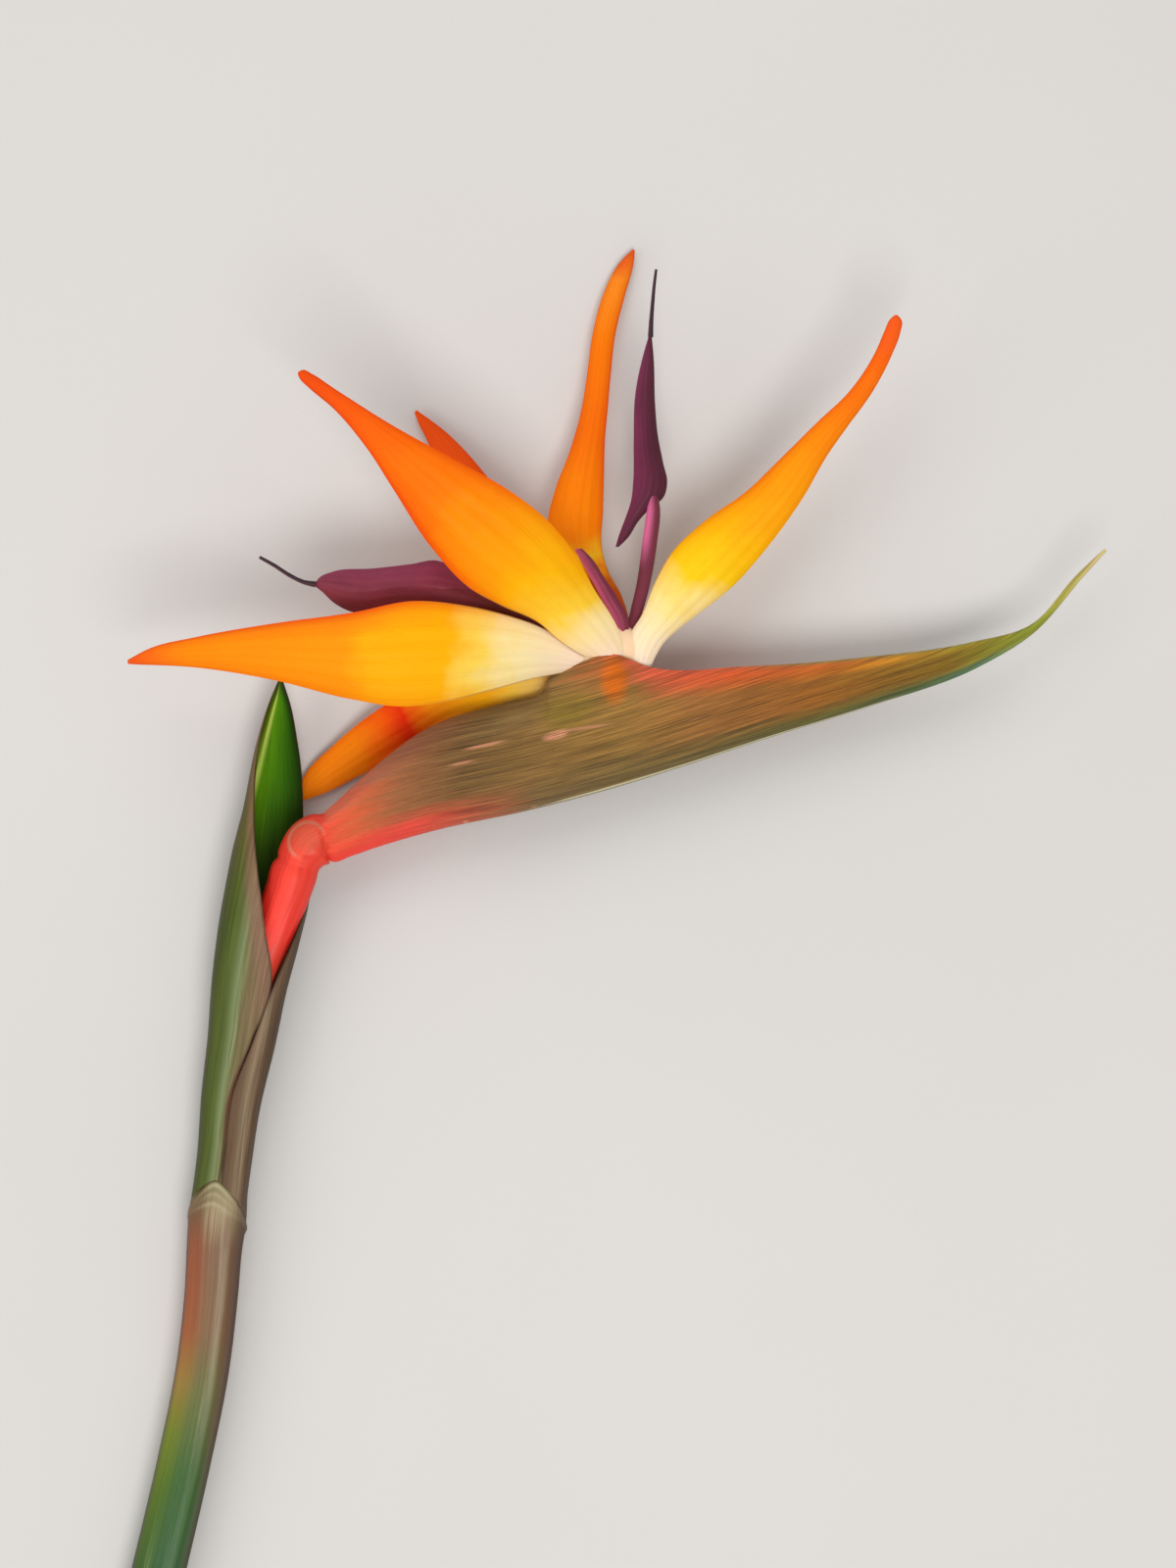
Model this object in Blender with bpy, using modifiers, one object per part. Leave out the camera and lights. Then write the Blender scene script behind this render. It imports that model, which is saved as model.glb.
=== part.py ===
"""Bird of paradise flower: a cut stem with its sheath, knuckle, spathe and two open flowers.

The flower lies on its side. +X runs along the spathe to its tip, +Y up the stem, +Z up from the floor.
All dimensions are in millimetres until a mesh is made.
"""
import math

import bpy
import numpy as np

MM = 0.001

# Sampling of the surfaces
ROWS = 22              # stations along a petal
COLUMNS = 9            # points across a petal
BRACT_ROWS = 40        # stations along the spathe and the sheath
BRACT_COLUMNS = 25     # points round the spathe and the sheath
BEVEL_RESOLUTION = 7   # roundness of the stem and of the thin tubes

# Stem: x, y, z of the centre and the radius, from the cut end to the knuckle
STEM = [
    (-110.6, -173.4, 5.9, 6.0),
    (-97.4, -122.0, 6.2, 6.0),
    (-91.8, -98.0, 6.4, 5.9),
    (-87.6, -77.0, 6.7, 5.9),
    (-85.4, -56.0, 7.3, 6.0),
    (-84.4, -46.5, 7.6, 6.4),
    (-83.6, -40.5, 7.8, 6.0),
    (-82.8, -36.0, 8.0, 4.8),
    (-80.2, -12.0, 8.9, 4.7),
    (-75.6, 10.0, 10.4, 4.8),
    (-70.2, 25.0, 11.8, 5.0),
    (-67.8, 31.5, 12.6, 5.1),
    (-66.8, 35.4, 12.9, 4.7),
    (-65.6, 38.6, 13.1, 4.8),
    (-63.6, 41.1, 13.1, 4.8),
    (-61.3, 42.4, 13.1, 4.3),
    (-60.0, 42.9, 13.1, 3.0),
    (-59.0, 43.2, 13.1, 1.8),
    (-56.0, 44.0, 13.1, 1.4),
]
STEM_ROWS = 90

# Sheath: x, y, z of the axis, half width, half depth, angle of the front margin, angle of the right margin.
# Angles run from +X over +Z; the sheath goes from the front margin over the left side and the back.
SHEATH = [
    (-82.3, -34.9, 8.0, 5.9, 5.8, 92.0, 444.0),
    (-81.0, -16.4, 8.8, 6.8, 6.2, 92.0, 444.0),
    (-78.6, -3.0, 9.5, 7.7, 6.6, 72.0, 424.0),
    (-76.7, 10.0, 10.4, 8.6, 7.0, 56.0, 408.0),
    (-74.6, 21.0, 10.6, 9.3, 7.4, 80.0, 372.0),
    (-72.7, 30.6, 10.4, 9.5, 7.4, 100.0, 338.0),
    (-70.9, 45.9, 9.8, 7.9, 6.6, 128.0, 318.0),
    (-70.6, 63.4, 9.4, 4.6, 3.8, 152.0, 340.0),
    (-70.2, 72.0, 9.2, 2.3, 1.8, 160.0, 350.0),
    (-70.0, 76.6, 9.0, 0.6, 0.5, 165.0, 345.0),
]
SHEATH_WALL = 0.8

# Spathe: margin x, y; keel x, y; median z, half thickness, half gap between the two margins
SPATHE = [
    (-60.2, 46.2, -57.4, 37.8, 13.1, 4.2, 0.8),
    (-56.6, 50.8, -54.2, 37.9, 13.1, 5.8, 1.0),
    (-50.6, 56.0, -49.0, 39.4, 13.1, 7.4, 1.0),
    (-36.4, 66.4, -34.0, 43.9, 13.2, 10.4, 1.5),
    (-19.0, 73.8, -16.0, 47.6, 13.3, 12.4, 4.0),
    (-5.0, 79.2, -1.0, 51.3, 13.4, 13.2, 7.6),
    (4.0, 82.4, 8.0, 53.8, 13.4, 13.2, 8.0),
    (13.0, 79.4, 17.5, 56.8, 13.4, 12.4, 6.5),
    (34.0, 79.8, 38.0, 63.6, 13.5, 9.2, 1.4),
    (60.0, 81.8, 62.0, 71.1, 13.8, 5.8, 0.9),
    (84.0, 85.0, 85.5, 80.0, 14.2, 3.0, 0.6),
    (97.0, 89.2, 97.8, 87.4, 14.6, 1.1, 0.3),
    (107.6, 100.5, 108.8, 99.7, 15.0, 0.6, 0.15),
    (113.6, 105.8, 114.2, 105.4, 15.2, 0.35, 0.08),
]
SPATHE_WALL = 1.3
KEEL_PINCH = 0.3       # how much the flanks are drawn in towards the keel

# Floral bases inside the spathe: x, y, z of the centre and the radius
FLOWER_BASES = {
    "flower_base_front": [
        (-40.0, 49.0, 16.2, 2.4),
        (-20.0, 56.5, 16.8, 3.2),
        (0.0, 68.0, 16.2, 3.8),
        (6.2, 77.0, 15.4, 4.0),
        (7.2, 80.4, 15.4, 3.4),
    ],
    "flower_base_back": [
        (-40.0, 49.2, 10.2, 2.4),
        (-20.0, 59.5, 9.4, 3.2),
        (-8.6, 69.5, 11.4, 3.2),
        (-5.0, 75.4, 14.2, 3.2),
        (-4.2, 78.4, 15.2, 2.6),
    ],
}

# Sepals: spine points x, y, z; full widths at equal shares of the length; camber; roll in degrees (base, tip)
SEPALS = {
    "sepal_left": {
        "spine": [(-4.8, 79.8, 18.3), (-9.4, 82.3, 23.2), (-15.0, 82.0, 27.0), (-28.5, 82.6, 32.0), (-43.0, 82.0, 37.0),
                  (-58.0, 82.2, 39.0), (-80.0, 82.6, 38.0), (-102.6, 80.4, 34.0)],
        "widths": [4.5, 16.5, 21.5, 22.6, 17.0, 10.5, 7.0, 0.9],
        "camber": 0.34, "roll": (0.0, 0.0),
    },
    "sepal_front_left": {
        "spine": [(4.8, 81.6, 18.2), (1.4, 85.6, 23.2), (-4.5, 91.5, 28.4), (-12.7, 99.5, 35.0), (-23.4, 107.5, 40.0),
                  (-33.5, 116.0, 44.0), (-52.8, 134.0, 47.0), (-63.8, 142.4, 46.0)],
        "widths": [4.5, 14.5, 20.5, 21.2, 17.0, 10.5, 6.5, 1.0],
        "camber": 0.36, "roll": (0.0, 0.0),
    },
    "sepal_centre": {
        "spine": [(6.6, 81.9, 12.6), (1.6, 97.5, 12.0), (-3.0, 109.0, 10.6), (-2.8, 121.0, 8.8),
                  (-0.6, 134.0, 6.6), (3.6, 160.5, 3.0), (8.4, 173.3, 1.6)],
        "widths": [3.6, 7.5, 13.0, 11.0, 6.6, 5.0, 4.4, 0.9],
        "camber": 0.5, "roll": (20.0, 20.0),
    },
    "sepal_right": {
        "spine": [(11.2, 81.4, 16.0), (16.0, 90.6, 20.0), (23.5, 100.0, 22.6), (34.0, 110.0, 24.4),
                  (43.4, 120.6, 25.6), (60.0, 142.0, 27.2), (66.9, 156.4, 28.0)],
        "widths": [3.8, 9.5, 16.2, 14.0, 10.2, 7.0, 5.0, 0.9],
        "camber": 0.45, "roll": (0.0, 0.0),
    },
    "sepal_behind": {
        "spine": [(-3.8, 80.2, 12.6), (-7.6, 90.0, 11.4), (-11.5, 97.0, 10.2), (-16.5, 105.4, 8.2),
                  (-22.4, 113.2, 6.4), (-34.2, 128.9, 3.4), (-39.9, 137.1, 1.6)],
        "widths": [3.6, 8.5, 10.6, 11.8, 10.6, 8.6, 5.5, 0.9],
        "camber": 0.35, "roll": (0.0, 0.0),
    },
    "sepal_low": {
        "spine": [(-8.6, 77.6, 14.6), (-15.0, 78.0, 14.4), (-24.0, 76.2, 11.8), (-34.0, 73.6, 8.2),
                  (-46.0, 67.2, 4.8), (-58.0, 58.6, 2.6), (-66.4, 51.6, 1.2)],
        "widths": [4.0, 6.0, 8.5, 12.0, 13.6, 12.6, 8.5, 1.2],
        "camber": 0.2, "roll": (0.0, 10.0),
    },
}
SEPAL_THICKNESS = 1.0

# Arrows (two fused lateral petals): spine points, share of the spine where the blade starts, widths of the stalk
# and of the blade, how far the two lobes sweep back at the left and at the right, roll
ARROWS = {
    "arrow_front": {
        "spine": [(7.6, 81.4, 15.0), (10.3, 98.0, 18.4), (12.2, 112.0, 19.6), (12.4, 128.0, 20.2),
                  (11.6, 142.0, 20.6), (12.5, 152.6, 20.8)],
        "blade_start": 0.4, "stalk": 2.8, "widest": 8.0, "lobes": (9.0, 2.5), "roll": 0.0,
    },
    "arrow_back": {
        "spine": [(-3.0, 79.9, 15.8), (-11.8, 88.4, 18.4), (-24.0, 94.6, 23.2), (-34.0, 97.6, 26.4),
                  (-48.0, 97.4, 27.8), (-61.6, 97.5, 28.6)],
        "blade_start": 0.42, "stalk": 2.6, "widest": 10.0, "lobes": (2.0, 3.5), "roll": 0.0,
    },
}
ARROW_THICKNESS = 1.2

# Styles: thin tubes running on from the arrow tips, x, y, z and radius
STYLES = {
    "style_front": [(12.5, 153.0, 20.8, 0.75), (12.9, 160.0, 21.0, 0.6), (13.7, 167.6, 21.4, 0.45)],
    "style_back": [(-62.1, 97.6, 28.6, 0.8), (-67.0, 99.4, 28.9, 0.55), (-73.8, 103.4, 29.4, 0.45)],
}

# Nectary petal: spine points and full widths
NECTARY = {
    "spine": [(5.8, 81.7, 16.4), (3.4, 91.4, 18.6), (0.4, 98.0, 20.6), (-4.0, 105.0, 21.0)],
    "widths": [2.4, 4.0, 4.2, 3.6, 0.8],
    "camber": 0.3, "roll": (0.0, 0.0),
}

# Colour (red, green, blue) and roughness of each kind of part
STEM_GREEN = ((0.16, 0.24, 0.11), 0.45)
SHEATH_GREEN = ((0.14, 0.20, 0.08), 0.45)
SPATHE_OLIVE = ((0.26, 0.16, 0.07), 0.45)
SEPAL_ORANGE = ((0.95, 0.28, 0.01), 0.5)
ARROW_PURPLE = ((0.11, 0.02, 0.07), 0.5)
BASE_CREAM = ((0.85, 0.62, 0.28), 0.5)


def clear_scene():
    for existing in list(bpy.data.objects):
        bpy.data.objects.remove(existing, do_unlink=True)
    for collection in list(bpy.data.collections):
        bpy.data.collections.remove(collection)


def smooth_through(points, shares):
    """Values at shares 0..1 of a smooth curve through rows of numbers spaced by their distance apart."""
    rows = np.array(points, dtype=float)
    steps = np.linalg.norm(np.diff(rows[:, :3], axis=0), axis=1)
    knots = np.concatenate(([0.0], np.cumsum(steps))) / steps.sum()
    slopes = np.gradient(rows, knots, axis=0)
    shares = np.clip(np.asarray(shares, dtype=float), 0.0, 1.0)
    left = np.clip(np.searchsorted(knots, shares, side="right") - 1, 0, len(knots) - 2)
    span = (knots[left + 1] - knots[left])[:, None]
    t = (shares - knots[left])[:, None] / span
    return (rows[left] * (2 * t**3 - 3 * t**2 + 1)
            + slopes[left] * span * (t**3 - 2 * t**2 + t)
            + rows[left + 1] * (3 * t**2 - 2 * t**3)
            + slopes[left + 1] * span * (t**3 - t**2))


def even_values(values, shares):
    """A smooth run of single values set at equal shares."""
    places = np.linspace(0.0, 1.0, len(values))
    rows = [(place, 0.0, 0.0, value) for place, value in zip(places, values)]
    return smooth_through(rows, shares)[:, 3]


def unit(vectors):
    return vectors / np.linalg.norm(vectors, axis=-1, keepdims=True)


def material(name, look):
    colour, roughness = look
    made = bpy.data.materials.new(name)
    made.use_nodes = True
    shader = made.node_tree.nodes["Principled BSDF"]
    shader.inputs["Base Color"].default_value = (*colour, 1.0)
    shader.inputs["Roughness"].default_value = roughness
    shader.inputs["Metallic"].default_value = 0.0
    return made


def add_object(collection, name, data, look):
    data.materials.append(material(name, look))
    made = bpy.data.objects.new(name, data)
    collection.objects.link(made)
    return made


def shell(collection, name, grid, wall, thinning, offset, look):
    """An open surface through a grid of points in millimetres, given its wall by Solidify.

    thinning holds the share of the wall at each point; offset is 0 for a wall on both sides, -1 for inwards.
    """
    rows, columns = grid.shape[:2]
    faces = [
        (i * columns + j, (i + 1) * columns + j, (i + 1) * columns + j + 1, i * columns + j + 1)
        for i in range(rows - 1) for j in range(columns - 1)
    ]
    mesh = bpy.data.meshes.new(name)
    mesh.from_pydata((grid.reshape(-1, 3) * MM).tolist(), [], faces)
    mesh.validate()
    mesh.shade_smooth()
    body = add_object(collection, name, mesh, look)
    group = body.vertex_groups.new(name="wall")
    for index, share in enumerate(thinning.ravel().tolist()):
        group.add([index], share, "REPLACE")
    solidify = body.modifiers.new("wall", "SOLIDIFY")
    solidify.thickness = wall * MM
    solidify.offset = offset
    solidify.vertex_group = group.name
    return body


def tube(collection, name, stations, rows, look):
    """A round curve with filled caps through stations of x, y, z and radius."""
    data = bpy.data.curves.new(name, "CURVE")
    data.dimensions = "3D"
    data.bevel_depth = MM
    data.bevel_resolution = BEVEL_RESOLUTION
    data.use_fill_caps = True
    spline = data.splines.new("POLY")
    spline.points.add(rows - 1)
    spline.use_smooth = True
    for point, (x, y, z, radius) in zip(spline.points, smooth_through(stations, np.linspace(0.0, 1.0, rows))):
        point.co = (x * MM, y * MM, z * MM, 1.0)
        point.radius = radius
    return add_object(collection, name, data, look)


def blade_frame(spine, shares, roll):
    """Centre, side and facing direction of a blade at each share; roll turns it about its spine."""
    centres = smooth_through(spine, shares)
    tangents = unit(np.gradient(centres, axis=0))
    side = unit(np.cross((0.0, 0.0, 1.0), tangents))
    facing = np.cross(tangents, side)
    turn = np.radians(np.linspace(roll[0], roll[1], len(shares)))[:, None]
    rolled_side = side * np.cos(turn) + facing * np.sin(turn)
    rolled_facing = facing * np.cos(turn) - side * np.sin(turn)
    return centres, tangents, rolled_side, rolled_facing


def petal(collection, name, shape, thickness, look):
    """A lance-shaped blade, cambered across, thinning to its rims and tip."""
    shares = np.linspace(0.0, 1.0, ROWS)
    centres, _, side, facing = blade_frame(shape["spine"], shares, shape["roll"])
    half = np.maximum(even_values(shape["widths"], shares), 0.6)[:, None] / 2.0
    u = np.linspace(-1.0, 1.0, COLUMNS)[None, :]
    middle = (centres[:, None]
              + side[:, None] * (half * u)[..., None]
              - facing[:, None] * (shape["camber"] * half * u**2)[..., None])
    depth = np.minimum(thickness, 0.9 * half) * (1.0 - 0.6 * u**2)
    return shell(collection, name, middle, thickness, depth / thickness, 0.0, look)


def arrow(collection, name, shape, thickness, look):
    """A stalk that opens into an arrow-shaped folded blade with two lobes swept back."""
    start = shape["blade_start"]
    shares = np.concatenate((np.linspace(0.0, start, 8), start + 0.01 + (0.99 - start) * np.linspace(0.0, 1.0, 16)))
    centres, tangents, side, facing = blade_frame(shape["spine"], shares, (shape["roll"], shape["roll"]))
    into = np.clip((shares - start) / (1.0 - start), 0.0, 1.0)
    blade = shape["widest"] * (1.0 - into)**0.8 * (1.0 - 0.25 * np.sin(math.pi * into))
    half = np.where(shares > start, np.maximum(blade, 1.4), shape["stalk"])[:, None] / 2.0
    u = np.linspace(-1.0, 1.0, COLUMNS)[None, :]
    sweep = np.where(u > 0.0, shape["lobes"][0], shape["lobes"][1]) * np.abs(u)
    sweep = sweep * np.where(shares > start, (1.0 - into)**3, 0.0)[:, None]
    camber = np.where(shares > start, 0.5, 0.1)[:, None]
    middle = (centres[:, None]
              + side[:, None] * (half * u)[..., None]
              - tangents[:, None] * sweep[..., None]
              - facing[:, None] * (camber * half * u**2)[..., None])
    stalk_depth = shape["stalk"] * 0.8
    body_depth = np.where(shares > start, thickness, stalk_depth)[:, None]
    depth = np.minimum(body_depth, 1.2 * half) * (1.0 - 0.6 * u**2)
    return shell(collection, name, middle, stalk_depth, depth / stalk_depth, 0.0, look)


def spathe(collection, name, look):
    """A boat-shaped bract: two flanks meet in a keel, part at the mouth and run out into a whisker."""
    along = smooth_through([(*row[:2], row[4], *row[2:4], *row[5:]) for row in SPATHE],
                           np.linspace(0.0, 1.0, BRACT_ROWS))
    margin = along[:, None, [0, 1]]
    median = along[:, None, 2]
    keel = along[:, None, [3, 4]]
    half, gap = along[:, None, 5], along[:, None, 6]
    s = np.linspace(-1.0, 1.0, BRACT_COLUMNS)[None, :]
    angle = (math.pi - np.arcsin(np.clip(gap / half, 0.0, 0.9))) * s
    rise = (1.0 - np.cos(angle)) / (1.0 - np.cos(angle[:, -1:]))
    pinch = 1.0 - KEEL_PINCH * np.cos(angle / 2.0)**4
    in_plane = keel + (margin - keel) * rise[..., None]
    skin = np.dstack((in_plane[..., 0], in_plane[..., 1], median + half * np.sin(angle) * pinch))
    wall = np.minimum(SPATHE_WALL, 0.4 * half) * (1.0 - 0.6 * s**6)
    return shell(collection, name, skin, SPATHE_WALL, wall / SPATHE_WALL, -1.0, look)


def sheath(collection, name, look):
    """A bract rolled round the stem: closed below, opening above into a pointed blade."""
    along = smooth_through(SHEATH, np.linspace(0.0, 1.0, BRACT_ROWS))
    centres = along[:, None, :3]
    width, depth = along[:, None, 3], along[:, None, 4]
    tangents = unit(np.gradient(along[:, :3], axis=0))
    across = unit(np.cross(tangents, (0.0, 0.0, 1.0)))[:, None]
    upward = np.cross(across[:, 0], tangents)[:, None]
    share = np.linspace(0.0, 1.0, BRACT_COLUMNS)[None, :]
    angle = np.radians(along[:, None, 5] * (1.0 - share) + along[:, None, 6] * share)
    skin = (centres
            + across * (width * np.cos(angle))[..., None]
            + upward * (depth * np.sin(angle))[..., None])
    wall = np.minimum(SHEATH_WALL, 0.6 * depth) * (1.0 - 0.5 * (2.0 * share - 1.0)**6)
    return shell(collection, name, skin, SHEATH_WALL, wall / SHEATH_WALL, -1.0, look)


def build():
    clear_scene()
    collection = bpy.data.collections.new("bird_of_paradise_flower")
    bpy.context.scene.collection.children.link(collection)
    tube(collection, "stem", STEM, STEM_ROWS, STEM_GREEN)
    sheath(collection, "sheath_bract", SHEATH_GREEN)
    spathe(collection, "spathe", SPATHE_OLIVE)
    for name, stations in FLOWER_BASES.items():
        tube(collection, name, stations, 16, BASE_CREAM)
    for name, shape in SEPALS.items():
        petal(collection, name, shape, SEPAL_THICKNESS, SEPAL_ORANGE)
    for name, shape in ARROWS.items():
        arrow(collection, name, shape, ARROW_THICKNESS, ARROW_PURPLE)
    for name, stations in STYLES.items():
        tube(collection, name, stations, 6, ARROW_PURPLE)
    petal(collection, "nectary_petal", NECTARY, SEPAL_THICKNESS, ARROW_PURPLE)


build()
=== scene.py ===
import math

import bpy
import numpy as np
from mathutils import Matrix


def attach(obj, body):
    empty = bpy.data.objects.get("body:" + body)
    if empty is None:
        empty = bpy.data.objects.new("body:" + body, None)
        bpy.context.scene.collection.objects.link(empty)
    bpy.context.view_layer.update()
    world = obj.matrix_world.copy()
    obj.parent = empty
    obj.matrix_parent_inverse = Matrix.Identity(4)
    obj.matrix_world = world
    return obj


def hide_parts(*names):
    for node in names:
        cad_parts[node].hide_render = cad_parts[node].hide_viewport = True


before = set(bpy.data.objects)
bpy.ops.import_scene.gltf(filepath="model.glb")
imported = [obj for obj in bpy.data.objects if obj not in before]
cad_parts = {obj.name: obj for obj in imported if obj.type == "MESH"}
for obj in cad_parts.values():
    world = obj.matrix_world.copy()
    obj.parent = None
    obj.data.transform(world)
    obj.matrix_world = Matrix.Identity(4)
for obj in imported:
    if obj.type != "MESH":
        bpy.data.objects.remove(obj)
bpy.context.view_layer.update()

# Bird of paradise flower, lying on its side: every CAD node is replaced by a finer surface of the same part.
# +X runs along the spathe to its tip, +Y up the stem, +Z up from the floor.
# Lengths of the flower are millimetres; those of the camera, the lamps and the floor are metres.

MM = 0.001

# Camera, looking straight down
CAMERA_HEIGHT = 1.6
VIEW_CENTRE = (-0.0014, 0.0536)
VIEW_HEIGHT = 0.352
SENSOR = 36.0

# Sampling of the surfaces
PETAL_ROWS = 150
PETAL_COLUMNS = 41
BRACT_ROWS = 240
BRACT_COLUMNS = 121
TUBE_SIDES = 64
STEM_ROWS = 520
STALK_ROWS = 60
STYLE_ROWS = 40
BASE_ROWS = 80
SHARP_ANGLE = math.radians(50.0)

# Petals: crown (a smooth arch) and keel (a ridge along the middle) say how far the middle stands towards the
# viewer, as shares of the half width. The waves of the edges and the folds of the middle are such shares too.
PETAL_WAVES = 0.045
PETAL_FOLDS = 0.02

# Sepals: the two edges from base to tip, crown, keel and thickness
SEPALS = {
    "sepal_left": {
        "left": [(-1.4, 79.6, 19.4), (-7.6, 78.2, 21.6), (-13.3, 77.0, 24.8), (-23.0, 74.2, 29.0),
                 (-33.0, 71.7, 33.0), (-42.6, 70.7, 35.6), (-54.0, 72.4, 37.0), (-70.1, 76.4, 37.4),
                 (-87.4, 79.2, 36.2), (-102.5, 80.0, 33.8)],
        "right": [(-0.8, 81.6, 19.4), (-6.0, 84.8, 22.2), (-11.8, 88.2, 25.4), (-18.7, 90.6, 29.4),
                  (-27.3, 92.6, 33.0), (-40.1, 93.7, 36.2), (-52.9, 91.2, 38.0), (-70.1, 88.8, 38.4),
                  (-87.4, 85.8, 37.0), (-97.5, 83.4, 35.2), (-102.5, 80.9, 33.8)],
        "crown": 0.26, "keel": 0.05, "thickness": 0.9,
    },
    "sepal_front_left": {
        "left": [(2.0, 80.0, 19.6), (-4.2, 83.0, 22.6), (-8.6, 86.0, 24.8), (-11.8, 88.9, 26.6),
                 (-20.8, 93.1, 31.2), (-27.2, 96.6, 35.0), (-35.7, 105.5, 39.4), (-44.2, 118.5, 43.0),
                 (-49.5, 126.7, 45.0), (-57.0, 135.6, 46.2), (-62.2, 140.0, 46.1), (-64.2, 142.0, 46.0),
                 (-64.7, 143.0, 46.0)],
        "right": [(7.6, 81.0, 19.6), (5.0, 88.4, 22.6), (-0.2, 96.8, 27.6), (-4.4, 104.3, 32.4),
                  (-10.8, 111.9, 37.0), (-18.6, 117.8, 40.6), (-31.4, 124.9, 43.6), (-44.2, 131.9, 45.6),
                  (-56.9, 139.9, 47.0), (-61.6, 143.0, 46.2), (-63.6, 143.9, 46.0), (-64.5, 143.5, 46.0)],
        "crown": 0.28, "keel": 0.06, "thickness": 0.9,
    },
    "sepal_centre": {
        "left": [(5.4, 82.0, 12.8), (3.4, 88.0, 13.0), (-1.6, 96.5, 12.4), (-6.8, 103.5, 11.6),
                 (-10.2, 110.5, 10.4), (-8.6, 119.6, 9.4), (-5.8, 126.9, 8.4), (-2.7, 137.9, 6.6),
                 (-1.6, 145.0, 5.6), (-0.3, 154.5, 4.2), (2.1, 163.4, 2.8), (5.6, 170.3, 1.8),
                 (8.5, 173.4, 1.4)],
        "right": [(8.4, 82.0, 12.8), (8.0, 88.5, 12.4), (6.0, 95.6, 11.8), (3.0, 101.2, 11.2),
                  (1.7, 106.0, 10.6), (1.9, 114.8, 9.6), (2.1, 122.5, 8.8), (2.3, 130.2, 7.6),
                  (3.0, 137.9, 6.6), (3.6, 145.0, 5.6), (4.7, 154.5, 4.2), (6.9, 163.4, 2.8),
                  (8.7, 170.0, 1.8), (9.1, 173.4, 1.4)],
        "crown": 0.42, "keel": 0.05, "thickness": 0.8,
    },
    "sepal_right": {
        "left": [(7.4, 81.4, 19.0), (8.2, 87.2, 19.4), (10.4, 90.8, 20.0), (13.4, 98.1, 20.8),
                 (17.0, 104.6, 22.2), (24.6, 111.9, 23.6), (33.3, 118.0, 24.8), (41.9, 126.2, 25.8),
                 (49.5, 133.7, 26.4), (56.2, 140.1, 27.0), (62.0, 148.8, 27.6), (64.0, 153.4, 28.0),
                 (65.2, 156.0, 28.0), (66.2, 157.0, 28.0)],
        "right": [(12.2, 78.8, 18.6), (13.4, 81.6, 19.0), (15.4, 84.9, 19.4), (19.4, 88.6, 19.8),
                  (24.8, 92.7, 20.4), (30.6, 97.4, 21.8), (37.6, 105.2, 23.4), (46.2, 117.1, 25.0),
                  (51.6, 126.5, 26.0), (55.9, 132.6, 26.4), (61.3, 140.1, 27.0), (65.6, 148.3, 27.6),
                  (67.5, 153.4, 28.0), (67.8, 155.8, 28.0), (66.9, 157.0, 28.0)],
        "crown": 0.34, "keel": 0.04, "thickness": 0.9,
    },
    "sepal_behind": {
        "left": [(-5.4, 79.8, 12.4), (-11.0, 86.3, 11.8), (-18.9, 97.3, 9.6), (-24.4, 106.1, 7.8),
                 (-29.9, 114.9, 6.0), (-34.7, 123.8, 4.4), (-37.6, 131.0, 2.8), (-39.2, 134.2, 2.2),
                 (-40.3, 136.9, 1.8)],
        "right": [(-2.2, 80.6, 12.4), (-2.4, 88.5, 11.8), (-6.9, 99.5, 9.8), (-14.5, 110.5, 7.8),
                  (-23.3, 121.5, 5.6), (-28.2, 127.4, 4.4), (-33.2, 132.4, 2.8), (-39.8, 137.4, 1.8)],
        "crown": 0.3, "keel": 0.05, "thickness": 0.8,
    },
    "sepal_low": {
        "left": [(-7.6, 74.4, 15.2), (-13.0, 72.2, 15.2), (-18.8, 70.8, 14.4), (-24.4, 69.6, 12.2),
                 (-31.4, 67.2, 8.2), (-38.6, 62.6, 5.2), (-45.4, 59.0, 3.6), (-52.4, 55.6, 2.6),
                 (-60.4, 51.6, 1.8), (-66.0, 49.6, 1.2)],
        "right": [(-7.6, 79.0, 15.0), (-13.0, 80.0, 15.2), (-20.0, 80.4, 14.4), (-28.4, 79.4, 11.8),
                  (-37.4, 76.6, 8.4), (-46.3, 71.6, 5.8), (-52.9, 67.0, 4.4), (-58.5, 62.2, 3.2),
                  (-64.5, 56.2, 2.0), (-67.0, 51.0, 1.2)],
        "crown": 0.1, "keel": 0.02, "thickness": 0.8,
    },
}

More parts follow.
